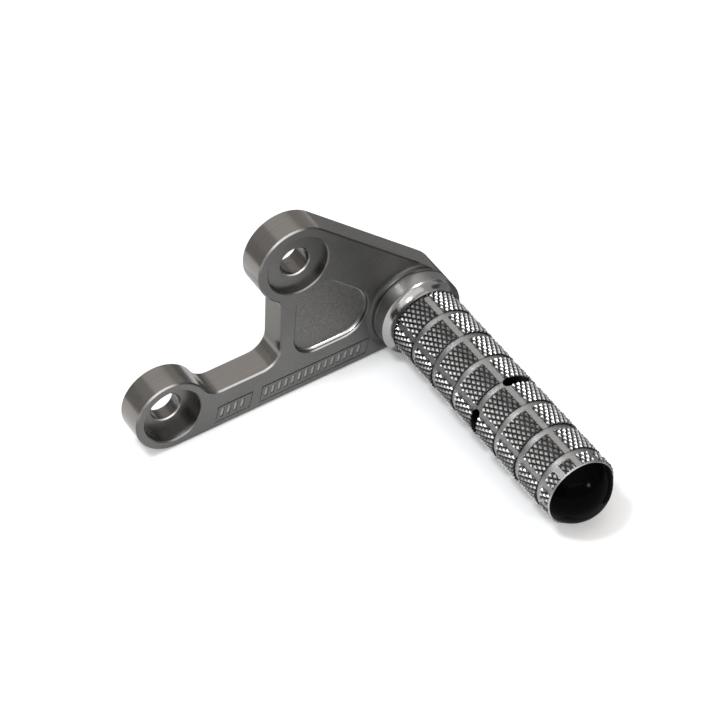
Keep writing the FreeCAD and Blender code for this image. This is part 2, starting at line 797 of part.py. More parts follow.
def make_lock_washer():
    """The split spring washer under the screw's head, drawn pressed flat."""
    body = new_body("lock_washer")
    ring = new_sketch(body, "washer_circles", "XZ_Plane", offset=web_face)
    add_circle(ring, ZERO, ZERO, size("washer_radius"))
    add_circle(ring, ZERO, ZERO, size("screw_radius") + size("thread_gap"))
    extrude(body, "Pad", "washer", ring, size("washer_thickness"))
    half = size("washer_split") / 2.0
    past = size("washer_radius") * 1.5
    split = new_sketch(body, "split_outline", "XZ_Plane", offset=head_seat)
    add_outline(split, [(-half, ZERO), (half, ZERO), (half, past), (-half, past)])
    extrude(body, "Pocket", "washer_split_cut", split)
    return body


def make_end_plug():
    """The domed plug whose shank is pushed into the barrel's open end."""
    body = new_body("end_plug")
    dome = size("dome_radius")
    height = size("dome_height")
    ball = (dome * dome + height * height) / (height * 2.0)
    shank = size("barrel_bore_radius") - size("plug_gap")
    lead = size("plug_lead")
    inner_end = barrel_end - size("plug_length")
    profile = new_sketch(body, "plug_profile", "XY_Plane")
    corners = [(ZERO, -(barrel_end + height)), (dome, -barrel_end), (shank, -barrel_end),
               (shank, -(inner_end + lead)), (shank - lead, -inner_end), (ZERO, -inner_end)]
    add_outline(profile, corners, {0: (ball, 1)})
    revolve(body, "Revolution", "plug", profile, "V_Axis")
    return body


def check_document():
    """Stops where an object of the document didn't build."""
    for item in doc.Objects:
        if "Invalid" in item.State or "Error" in item.State:
            raise RuntimeError(item.Name + " did not build: " + str(item.State))
        if item.isDerivedFrom("Sketcher::SketchObject") and item.solve() != 0:
            raise RuntimeError(item.Name + " can't be solved")


def write_part(body):
    """Writes one piece as a STEP file named after its label."""
    shape = body.Shape
    if shape.isNull() or not shape.isValid() or len(shape.Solids) != 1:
        raise RuntimeError(body.Label + " is not one sound solid")
    shape.exportStep(os.path.join("parts", body.Label + ".step"))
    box = shape.BoundBox
    print("%-12s volume %9.1f  x %7.2f %7.2f  y %8.2f %8.2f  z %7.2f %7.2f" % (
        body.Label, shape.Volume, box.XMin, box.XMax, box.YMin, box.YMax, box.ZMin, box.ZMax))


pieces = [make_bracket(), make_peg_barrel(), make_peg_screw(), make_lock_washer(), make_end_plug()]
doc.recompute()
check_document()
os.makedirs("parts", exist_ok=True)
for piece in pieces:
    write_part(piece)
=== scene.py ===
# %% [markdown]
# # A knurled footpeg on its milled bracket
#
# A rider's boot rests on this peg. It is a turned aluminium barrel, grooved and knurled so that the
# sole doesn't slip, and one screw inside it pulls it onto a flat bracket milled from plate. The
# construction model already has every piece at its true place and size. This lesson puts the fine
# work on it: the knurl, the marks that the tools left, and the light of a small photo studio.

# %% Load the construction model
import math

import bmesh
import bpy
from mathutils import Matrix, Vector


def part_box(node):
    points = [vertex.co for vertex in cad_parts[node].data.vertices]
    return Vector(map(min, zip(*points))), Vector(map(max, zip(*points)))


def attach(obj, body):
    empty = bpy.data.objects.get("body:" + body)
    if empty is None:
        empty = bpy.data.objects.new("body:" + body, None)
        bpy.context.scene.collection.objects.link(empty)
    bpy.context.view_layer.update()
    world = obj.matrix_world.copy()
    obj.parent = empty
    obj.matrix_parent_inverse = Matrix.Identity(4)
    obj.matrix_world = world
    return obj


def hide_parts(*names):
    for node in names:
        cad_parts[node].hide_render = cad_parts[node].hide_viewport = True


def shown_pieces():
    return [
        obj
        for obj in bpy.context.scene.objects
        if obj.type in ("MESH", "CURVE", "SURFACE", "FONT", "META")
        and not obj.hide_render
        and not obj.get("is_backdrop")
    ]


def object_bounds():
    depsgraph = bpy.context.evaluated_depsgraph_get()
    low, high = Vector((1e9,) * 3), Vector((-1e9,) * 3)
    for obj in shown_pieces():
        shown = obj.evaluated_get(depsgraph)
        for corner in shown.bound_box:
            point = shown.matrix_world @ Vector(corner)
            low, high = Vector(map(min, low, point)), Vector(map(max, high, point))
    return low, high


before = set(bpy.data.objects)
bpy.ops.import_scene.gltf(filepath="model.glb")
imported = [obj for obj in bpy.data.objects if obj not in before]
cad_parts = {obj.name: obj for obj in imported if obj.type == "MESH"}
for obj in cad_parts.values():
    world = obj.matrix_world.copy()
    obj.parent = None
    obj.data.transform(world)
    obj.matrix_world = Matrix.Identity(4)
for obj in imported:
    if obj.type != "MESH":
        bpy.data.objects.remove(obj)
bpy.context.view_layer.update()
MM = 0.001
print("nodes:", sorted(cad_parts))

# %% [markdown]
# ## The sizes that the finish hangs on
#
# The peg points along -Y, and its axis runs through PEG. Every length along the peg is counted
# from the seat, where the barrel's flange meets the pad of the bracket. Measuring the loaded
# nodes, instead of writing the numbers again, keeps the finish on the pieces.

# %% Measure the peg
barrel_low, barrel_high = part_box("peg_barrel")
_, plug_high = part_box("end_plug")
bracket_low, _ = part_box("bracket")
PEG = (barrel_low + barrel_high) / 2
PEG_X = PEG.x / MM
PEG_Z = PEG.z / MM
SEAT = -bracket_low.y / MM
BARREL_END = -barrel_low.y / MM
print("peg axis", round(PEG_X, 2), round(PEG_Z, 2), "in mm")
print("seat", round(SEAT, 2), "end", round(BARREL_END, 2))

# %% [markdown]
# ## Turning on a lathe
#
# Nearly every surface of the peg was turned: the bar spins and the tool draws the outline. The
# helper does the same. It takes the outline as pairs of distance along the axis and radius, in
# millimetres, spins it in even steps and joins the last step to the first, so the mesh is closed.

# %% Helpers that turn a closed outline
SPIN_STEPS = 168
ON_AXIS = 1e-6


def mesh_object(name, points, faces):
    """An object from points in millimetres, with its faces turned outwards."""
    mesh = bpy.data.meshes.new(name)
    mesh.from_pydata([Vector(point) * MM for point in points], [], faces)
    work = bmesh.new()
    work.from_mesh(mesh)
    bmesh.ops.recalc_face_normals(work, faces=work.faces)
    work.to_mesh(mesh)
    work.free()
    piece = bpy.data.objects.new(name, mesh)
    bpy.context.scene.collection.objects.link(piece)
    return piece


def peg_point(reach, radius, angle):
    """The point that far along the peg's axis, at a radius and at an angle from straight up."""
    return (PEG_X + radius * math.sin(angle), -reach, PEG_Z + radius * math.cos(angle))


def turned(name, outline, steps=SPIN_STEPS):
    """A solid of revolution about the peg's axis. A point on the axis is one single vertex."""
    points, rings = [], []
    for reach, radius in outline:
        if radius < ON_AXIS:
            rings.append([len(points)] * steps)
            points.append((PEG_X, -reach, PEG_Z))
            continue
        rings.append([len(points) + step for step in range(steps)])
        points += [peg_point(reach, radius, 2 * math.pi * step / steps) for step in range(steps)]
    faces = []
    for first, second in zip(rings, rings[1:] + rings[:1]):
        for step in range(steps):
            after = (step + 1) % steps
            corners = [first[step], first[after], second[after], second[step]]
            face = [corner for place, corner in enumerate(corners) if corner not in corners[:place]]
            if len(face) > 2:
                faces.append(face)
    return mesh_object(name, points, faces)


def arc_points(centre, radius, start, end, count):
    """Points of an arc in the outline's own plane, both ends included."""
    angles = [math.radians(start + (end - start) * number / count) for number in range(count + 1)]
    return [(centre[0] + radius * math.cos(a), centre[1] + radius * math.sin(a)) for a in angles]


print("a full turn takes", SPIN_STEPS, "steps")

# %% [markdown]
# ## The barrel before it is knurled
#
# On the machine the barrel is turned first: a flange at its foot, a polished cove that narrows it,
# and then the long grip. The grip is left a tenth of a millimetre too big here, because the knurl
# cuts all of it away down to the tips of its teeth. At the open end a cutter breaks the rim. The
# bright rim in the photograph is a little wider than the one of the construction model, so it's
# turned here to the width that is seen.

# %% Turn the blank of the barrel
GRIP_R = 12.5
FLANGE_R = 14.55
FLANGE_END = SEAT + 4.7
FLANGE_EDGE = 0.3
FLANGE_LIP = 0.15
COVE_END = FLANGE_END + 3.3
COVE_STEPS = 12
KNURL_START = COVE_END + 0.35
KNURL_STEP = KNURL_START + 0.05
SPARE = 0.1
BORE_R = 9.5
BORE_EDGE = 0.25
SCREW_HOLE_R = 5.3
SPIGOT_R = 8
SPIGOT_END = SEAT - 3
WEB_FACE = SEAT + 11.0
END_LIP = 1.1
END_DROP = 0.85

drop = FLANGE_R - GRIP_R
cove_length = COVE_END - FLANGE_END
cove_r = (drop ** 2 + cove_length ** 2) / (2 * drop)
cove_sweep = math.degrees(math.asin(cove_length / cove_r))
cove_centre = (COVE_END, GRIP_R + cove_r)
outline = [(SPIGOT_END, SCREW_HOLE_R), (SPIGOT_END, SPIGOT_R), (SEAT, SPIGOT_R),
           (SEAT, FLANGE_R - FLANGE_EDGE), (SEAT + FLANGE_EDGE, FLANGE_R),
           (FLANGE_END - FLANGE_LIP, FLANGE_R)]
outline += arc_points(cove_centre, cove_r, -90 - cove_sweep, -90, COVE_STEPS)
outline += [(KNURL_STEP, GRIP_R), (KNURL_STEP, GRIP_R + SPARE),
            (BARREL_END - END_LIP - SPARE, GRIP_R + SPARE), (BARREL_END, GRIP_R - END_DROP),
            (BARREL_END, BORE_R + BORE_EDGE), (BARREL_END - BORE_EDGE, BORE_R),
            (WEB_FACE, BORE_R), (WEB_FACE, SCREW_HOLE_R)]
barrel = turned("knurled_barrel", outline)
print("cove radius", round(cove_r, 2), "faces of the blank", len(barrel.data.polygons))

# %% [markdown]
# ## The knurl
#
# Two hardened wheels roll over the turning bar and press two sets of slanting valleys into it, one
# right-handed and one left-handed. What stands between them is a field of small diamonds with
# blunt tips. It is worked out here in two numbers that each count the valleys of one set: every
# diamond is a unit square in those numbers, so a few lines place thousands of them, and the last
# column meets the first one without a seam.

# %% Lay out the diamonds as a cutter
KNURL_TEETH = 42
KNURL_PITCH = 3.26
KNURL_DEPTH = 0.6
KNURL_OVERRUN = 4
CUTTER_R = 13.6
VALLEY_EDGE = 0.05
TIP_EDGE = 0.44


def diamond_sheet(radius_low, radius_high, rows):
    """Points and faces of a field of diamonds, with the valleys and the tips at their radii."""
    points, faces, index = [], [], {}
    knots = [(VALLEY_EDGE, radius_low), (TIP_EDGE, radius_high)]
    for row in range(rows):
        for tooth in range(KNURL_TEETH):
            for ring, (edge, radius) in enumerate(knots):
                far = 1 - edge
                square = ((edge, edge), (far, edge), (far, far), (edge, far))
                for corner, (a, b) in enumerate(square):
                    first, second = row + tooth + a, tooth + b
                    angle = math.pi * (first + second) / KNURL_TEETH
                    reach = KNURL_START - KNURL_OVERRUN + KNURL_PITCH * (first - second) / 2
                    index[row, tooth, ring, corner] = len(points)
                    points.append(peg_point(reach, radius, angle))

    def at(row, tooth, ring, corner):
        return index.get((row, tooth % KNURL_TEETH, ring, corner))

    for row in range(rows):
        for tooth in range(KNURL_TEETH):
            foot, tip = ([at(row, tooth, ring, corner) for corner in range(4)] for ring in (0, 1))
            faces.append(tip)
            for corner in range(4):
                after = (corner + 1) % 4
                faces.append([foot[corner], foot[after], tip[after], tip[corner]])
            # The strips of valley floor to the two neighbours, and the patch where they cross.
            along = [at(row + 1, tooth, 0, corner) for corner in (3, 0)]
            around = [at(row - 1, tooth + 1, 0, corner) for corner in (1, 0)]
            faces.append([foot[1], foot[2]] + along)
            faces.append([foot[3], foot[2]] + around)
            faces.append([foot[2], along[0], at(row, tooth + 1, 0, 0), around[0]])
    return points, [face for face in faces if None not in face]


rows = int(math.ceil((BARREL_END - KNURL_START + 2 * KNURL_OVERRUN) / KNURL_PITCH * 2))
skin, skin_faces = diamond_sheet(GRIP_R - KNURL_DEPTH, GRIP_R, rows)
cover, cover_faces = diamond_sheet(CUTTER_R, CUTTER_R, rows)
shift = len(skin)
used = {}
for face in skin_faces:
    for a, b in zip(face, face[1:] + face[:1]):
        used[frozenset((a, b))] = used.get(frozenset((a, b)), 0) + 1
open_edges = [tuple(edge) for edge, count in used.items() if count == 1]
walls = [[a, b, b + shift, a + shift] for a, b in open_edges]
lid_faces = [[corner + shift for corner in face] for face in cover_faces]
knurl = mesh_object("knurl_cutter", skin + cover, skin_faces + lid_faces + walls)
print("diamonds", rows * KNURL_TEETH, "open edges", len(walls), "faces", len(knurl.data.polygons))

# %% [markdown]
# ## Cutting
#
# Each cut is a boolean between closed meshes, which is also how a cut works in metal: what the tool
# sweeps is gone. The manifold solver is quick and leaves a closed mesh, and the cutter is thrown
# away afterwards.

# %% A helper that cuts, and the knurl cut
SLAB_LOW, SLAB_HIGH = 11, 13.2
PAST_END = 1


def combine(piece, tool, operation="DIFFERENCE"):
    """Cuts the tool from the piece, or keeps what they share, and throws the tool away."""
    step = piece.modifiers.new("cut", "BOOLEAN")
    step.operation = operation
    step.solver = "MANIFOLD"
    step.object = tool
    evaluated = piece.evaluated_get(bpy.context.evaluated_depsgraph_get())
    mesh = bpy.data.meshes.new_from_object(evaluated)
    piece.modifiers.clear()
    piece.data = mesh
    bpy.data.objects.remove(tool)
    return piece


slab_end = BARREL_END + PAST_END
slab = turned("slab", [(KNURL_START, SLAB_LOW), (KNURL_START, SLAB_HIGH), (slab_end, SLAB_HIGH),
                       (slab_end, SLAB_LOW)])
combine(knurl, slab, "INTERSECT")
combine(barrel, knurl)
print("faces after the knurl", len(barrel.data.polygons))

# %% [markdown]
# ## Ring grooves, long grooves and end notches
#
# After knurling, a parting tool cuts seven square ring grooves, and an end mill runs six
# flat-bottomed grooves along the grip, each with the round start that the mill leaves. In the last
# row it cuts six more between them. The pads of knurl that stay give the grip its blocks.

# %% Cut the grooves
RING_COUNT = 7
RING_PITCH = 12.18
RING_HALF = 1.2
RING_DEPTH = 0.85
FIRST_RING = SEAT + 19.55
RING_PLACES = [FIRST_RING + RING_PITCH * number for number in range(RING_COUNT)]
GROOVE_COUNT = 6
GROOVE_HALF = 1.05
GROOVE_DEPTH = 0.7
GROOVE_FLOOR = GRIP_R - GROOVE_DEPTH
GROOVE_START = SEAT + 8.8
GROOVE_OVERRUN = 2
GROOVE_TOP = 14.5
NOSE_STEPS = 12
CLEAR_R = 14

for place in RING_PLACES:
    near, far = place - RING_HALF, place + RING_HALF
    floor = GRIP_R - RING_DEPTH
    ring = [(near, floor), (near, CLEAR_R), (far, CLEAR_R), (far, floor)]
    combine(barrel, turned("ring_cutter", ring))


def groove_cutter(degrees, start, round_start):
    """The space that the mill sweeps: a bar with a flat floor, and a round start if asked."""
    far = BARREL_END + GROOVE_OVERRUN
    rim = [(-GROOVE_HALF, far), (GROOVE_HALF, far), (GROOVE_HALF, start), (-GROOVE_HALF, start)]
    if round_start:
        nose = arc_points((0, start + GROOVE_HALF), GROOVE_HALF, 0, -180, NOSE_STEPS)
        rim = rim[:2] + nose
    count = len(rim)
    angle = math.radians(degrees)
    points = []
    for height in (GROOVE_FLOOR, GROOVE_TOP):
        for across, reach in rim:
            x = across * math.cos(angle) + height * math.sin(angle)
            z = height * math.cos(angle) - across * math.sin(angle)
            points.append((PEG_X + x, -reach, PEG_Z + z))
    faces = [list(range(count)), list(range(count, 2 * count))]
    faces += [[i, (i + 1) % count, (i + 1) % count + count, i + count] for i in range(count)]
    return mesh_object("groove_cutter", points, faces)


between_grooves = 360 / GROOVE_COUNT
for number in range(GROOVE_COUNT):
    degrees = between_grooves * number
    combine(barrel, groove_cutter(degrees, GROOVE_START, True))
    combine(barrel, groove_cutter(degrees + between_grooves / 2, RING_PLACES[-1], False))
print("faces after the grooves", len(barrel.data.polygons))

# %% [markdown]
# ## Three slots
#
# A slim end mill cuts three slots through the wall in the middle ring groove while the barrel turns
# slowly, so each slot has round ends and follows the barrel. The cutter here is the space that the
# mill sweeps: a stadium in angle and length, drawn out along the radius.

# %% Cut the slots
SLOT_COUNT = 3
SLOT_HALF = 1.65
SLOT_PLACE = RING_PLACES[3]
SLOT_START = 4.5
SLOT_SWEEP = 49.0
SLOT_INNER_R = 8.2
CAP_STEPS = 12
SIDE_STEPS = 14


def slot_cutter(start):
    """A stadium wrapped round the peg's axis, from inside the bore to outside the grip."""
    rim = []
    round_end = math.degrees(SLOT_HALF / GRIP_R)
    for number in range(CAP_STEPS + 1):
        turn = math.radians(90 - 180 * number / CAP_STEPS)
        rim.append((SLOT_HALF * math.sin(turn), start + SLOT_SWEEP + round_end * math.cos(turn)))
    for number in range(1, SIDE_STEPS):
        rim.append((-SLOT_HALF, start + SLOT_SWEEP * (1 - number / SIDE_STEPS)))
    for number in range(CAP_STEPS + 1):
        turn = math.radians(-90 - 180 * number / CAP_STEPS)
        rim.append((SLOT_HALF * math.sin(turn), start + round_end * math.cos(turn)))
    for number in range(1, SIDE_STEPS):
        rim.append((SLOT_HALF, start + SLOT_SWEEP * number / SIDE_STEPS))
    points = [peg_point(SLOT_PLACE + reach, radius, math.radians(degrees))
              for radius in (SLOT_INNER_R, CLEAR_R) for reach, degrees in rim]
    count = len(rim)
    faces = [[i, (i + 1) % count, (i + 1) % count + count, i + count] for i in range(count)]
    # The two broad faces are strips from one long side to the other, as they bend round the axis.
    low_end = CAP_STEPS + SIDE_STEPS
    high_end = low_end + CAP_STEPS
    for base in (0, count):
        lows = [base + number for number in range(CAP_STEPS, low_end + 1)]
        highs = [base] + [base + number for number in range(count - 1, high_end - 1, -1)]
        faces += [[highs[i], highs[i + 1], lows[i + 1], lows[i]] for i in range(SIDE_STEPS)]
        faces.append([base + number for number in range(CAP_STEPS + 1)])
        faces.append([base + number for number in range(low_end, high_end + 1)])
    return mesh_object("slot_cutter", points, faces)


for number in range(SLOT_COUNT):
    combine(barrel, slot_cutter(SLOT_START + 360 / SLOT_COUNT * number))
print("faces of the finished barrel", len(barrel.data.polygons))

# %% [markdown]
# ## The end plug
#
# A domed plug of black plastic closes the bore. Its gloss shows every facet of a coarse mesh, so a
# finer dome is turned here to the same outline and stands for the plug of the construction model.

# %% Turn the plug
DOME_R = 11.5
DOME_HEIGHT = 7.2
DOME_STEPS = 26
PLUG_R = BORE_R - 0.1
PLUG_END = -plug_high.y / MM
PLUG_LEAD = 0.8
PLUG_SPIN = 128

dome_ball = (DOME_R ** 2 + DOME_HEIGHT ** 2) / (2 * DOME_HEIGHT)
dome_sweep = math.degrees(math.asin(DOME_R / dome_ball))
dome_centre = (BARREL_END + DOME_HEIGHT - dome_ball, 0)
dome = arc_points(dome_centre, dome_ball, 0, dome_sweep, DOME_STEPS)
dome[0] = (dome[0][0], 0.0)
shank = [(BARREL_END, PLUG_R), (PLUG_END + PLUG_LEAD, PLUG_R), (PLUG_END, PLUG_R - PLUG_LEAD),
         (PLUG_END, 0)]
plug = turned("domed_plug", dome + shank, PLUG_SPIN)
print("dome radius", round(dome_ball, 2), "faces of the plug", len(plug.data.polygons))

# %% [markdown]
# ## Smooth faces and crisp edges
#
# Turned faces should catch the light as one surface while the edges between them stay sharp. So
# every face is shaded smooth, and each edge that bends by more than SHARP_BEND degrees is marked
# sharp.

# %% Shade and place the new pieces
SHARP_BEND = 24
NEW_PIECES = (
    (barrel, "peg_barrel", "turned_aluminium"),
    (plug, "end_plug", "black_plastic"),
)


def shade(piece):
    """Smooth shading, with the edges that bend a lot marked sharp."""
    piece.data.shade_smooth()
    piece.data.set_sharp_from_angle(angle=math.radians(SHARP_BEND))


for piece, node, slot_name in NEW_PIECES:
    shade(piece)
    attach(piece, "root")
    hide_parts(node)

# %% [markdown]
# ## A small language for surfaces
#
# A finish is a sum of simple things: brushed lines, cloudy marks, a brighter edge. Written as
# plain expressions they stay readable, so this class wraps a socket and turns +, - and * into the
# nodes that do the sum.

# %% The class that writes shader sums
BUMP_STRENGTH = 0.3
BUMP_DEPTH = 0.03


class Wire:
    """An output of a node, or a plain number, that can be used in sums."""

    def __init__(self, finish, socket):
        self.finish = finish
        self.socket = socket

    def math(self, operation, *others):
        """A Math node on this value and the others."""
        values = dict(enumerate((self,) + others))
        return self.finish.node("ShaderNodeMath", {"operation": operation}, values)

    def __add__(self, other):
        return self.math("ADD", other)

    def __radd__(self, other):
        return self.math("ADD", other)

    def __sub__(self, other):
        return self.math("SUBTRACT", other)

    def __rsub__(self, other):
        return Wire(self.finish, other).math("SUBTRACT", self)

    def __mul__(self, other):
        return self.math("MULTIPLY", other)

    def __rmul__(self, other):
        return self.math("MULTIPLY", other)

    def __neg__(self):
        return self.math("MULTIPLY", -1.0)

    def step(self, low, high):
        """0 below low, 1 above high and smooth between them."""
        return self.finish.node("ShaderNodeMapRange", {"interpolation_type": "SMOOTHSTEP"},
                                {"Value": self, "From Min": low, "From Max": high}, "Result")


class Finish:
    """One material, built up from its nodes."""

    def __init__(self, name):
        self.material = bpy.data.materials.new(name)
        self.material.use_nodes = True
        self.tree = self.material.node_tree
        self.tree.nodes.clear()

    def feed(self, socket, value):
        """Links a value to a socket, or sets the socket to a plain number or colour."""
        if isinstance(value, Wire):
            value = value.socket
        if isinstance(value, bpy.types.NodeSocket):
            self.tree.links.new(value, socket)
        else:
            socket.default_value = value

    def node(self, kind, settings=None, values=None, output=0):
        """Any node: its settings are set first, then its sockets, and one output comes back."""
        node = self.tree.nodes.new(kind)
        for name, value in (settings or {}).items():
            setattr(node, name, value)
        for name, value in (values or {}).items():
            self.feed(node.inputs[name], value)
        return Wire(self, node.outputs[output])

    def place(self, scale=(1, 1, 1)):
        """The point of the surface in millimetres, stretched for a texture."""
        point = self.node("ShaderNodeTexCoord", output="Object")
        return self.node("ShaderNodeMapping", None,
                         {"Vector": point, "Scale": [part / MM for part in scale]})

    def noise(self, scale, detail=2.0, stretch=(1, 1, 1), rough=0.5):
        """A cloudy pattern from 0 to 1, finer with a larger scale."""
        values = {"Vector": self.place(stretch), "Scale": scale, "Detail": detail,
                  "Roughness": rough}
        return self.node("ShaderNodeTexNoise", None, values, "Fac")

    def parts(self, vector):
        """The x, y and z of a vector."""
        node = self.tree.nodes.new("ShaderNodeSeparateXYZ")
        self.feed(node.inputs[0], vector)
        return [Wire(self, socket) for socket in node.outputs]

    def blend(self, amount, low, high):
        """A colour between two, by an amount from 0 to 1."""
        node = self.tree.nodes.new("ShaderNodeMix")
        node.data_type = "RGBA"
        self.feed(node.inputs["Factor"], amount)
        sockets = [socket for socket in node.inputs if socket.type == "RGBA"]
        self.feed(sockets[0], low)
        self.feed(sockets[1], high)
        return Wire(self, [socket for socket in node.outputs if socket.type == "RGBA"][0])

    def bump(self, height):
        """The normal of a surface with those fine heights."""
        values = {"Height": height, "Strength": BUMP_STRENGTH, "Distance": BUMP_DEPTH * MM}
        return self.node("ShaderNodeBump", None, values, "Normal")

    def surface(self, **values):
        """The shader of the surface, which every finish ends in."""
        shader = self.tree.nodes.new("ShaderNodeBsdfPrincipled")
        for name, value in values.items():
            self.feed(shader.inputs[name.replace("_", " ")], value)
        out = self.tree.nodes.new("ShaderNodeOutputMaterial")
        self.tree.links.new(shader.outputs[0], out.inputs[0])
        return self.material


print("ready to write finishes")

# %% [markdown]
# ## Helpers for metal
#
# Bare metal has hardly any colour of its own, so one level of grey, a little warmer or cooler, is
# enough for each finish. The other helpers pick out a zone of the surface by a measure, draw the
# rings that a cutter leaves round an axis, and lay one metal over another.

# %% Grey levels, zones and rings


def grey(level, warm=0.0):
    """A metal's colour from one level, a little warmer or cooler."""
    return (level * (1 + warm), level, level * (1 - warm), 1.0)


def band(value, low, high, soft):
    """1 between low and high, 0 outside, with soft borders."""
    return value.step(low - soft, low) * (1 - value.step(high, high + soft))


def inside(radius, limit, soft=0.1):
    """1 where a distance is under the limit, 0 beyond it."""
    return 1 - radius.step(limit - soft, limit + soft)


def distance_from(x, z, centre_x, centre_z):
    """The distance from an axis along Y."""
    return ((x - centre_x) * (x - centre_x) + (z - centre_z) * (z - centre_z)).math("SQRT")


def ring_marks(finish, radius, fineness):
    """Fine marks that run round an axis."""
    line = finish.node("ShaderNodeCombineXYZ", None, {"X": radius * fineness})
    values = {"Vector": line, "Scale": 1.0, "Detail": 2.0}
    return finish.node("ShaderNodeTexNoise", None, values, "Fac")


def layered(finish, colour, layers):
    """A colour with others laid over it, each in its own zone and in the order given."""
    for zone, metal in layers:
        colour = finish.blend(zone, colour, metal)
    return colour


print("a warm grey:", [round(part, 3) for part in grey(0.4, 0.02)])

# %% [markdown]
# ## Milled aluminium
#
# The bracket was milled from plate, deburred and lightly brushed, which leaves a dull, cloudy grey.
# Its zones are found by where the surface lies and which way it faces. The mill leaves faint rings
# on what it faced, and a rougher floor in the pocket. A cutter broke the edges: those that look up
# are drawn lighter, a painted highlight, and so are the bores' rims where they look up. The bores
# and the walls of the counterbores are darker, painted shade in the hollows, and the counterbore
# walls that look up carry a painted highlight. The fillet round the pad is drawn dark, painted
# shade. The engraving is drawn lighter, a painted highlight for the bright edges of its letters,
# and the pocket's fillet is smoother metal with a painted highlight where it looks up.

# %% The finish of the bracket
# Lengths are in millimetres. The limits are radii about the bores and about the peg's axis.
UPPER_X, UPPER_Z = 49.5, 38.6
PAD_HEIGHT = 2.3
POCKET_DEPTH = 1.5
PLATE_FRONT = SEAT - PAD_HEIGHT
POCKET_FLOOR = PLATE_FRONT - POCKET_DEPTH
ENGRAVED_TOP = (-6.5, -5.5)
ARM_SINK_R = 10.0
UPPER_SINK_R = 10.7
SINK_REACH = (-9.9, -1.0)
BORE_LIMIT = 5.4
BORE_RIM_LIMIT = 6.3
ARM_RIM_LIMIT = 11.3
UPPER_RIM_LIMIT = 12.0
PAD_LIMITS = (17.5, 21.0)
RING_FINENESS = 3.0
PAD_FINENESS = 1.6
CHAMFER_FACING = (0.69, 0.725)
MIDDLE = (0.3, 0.7)


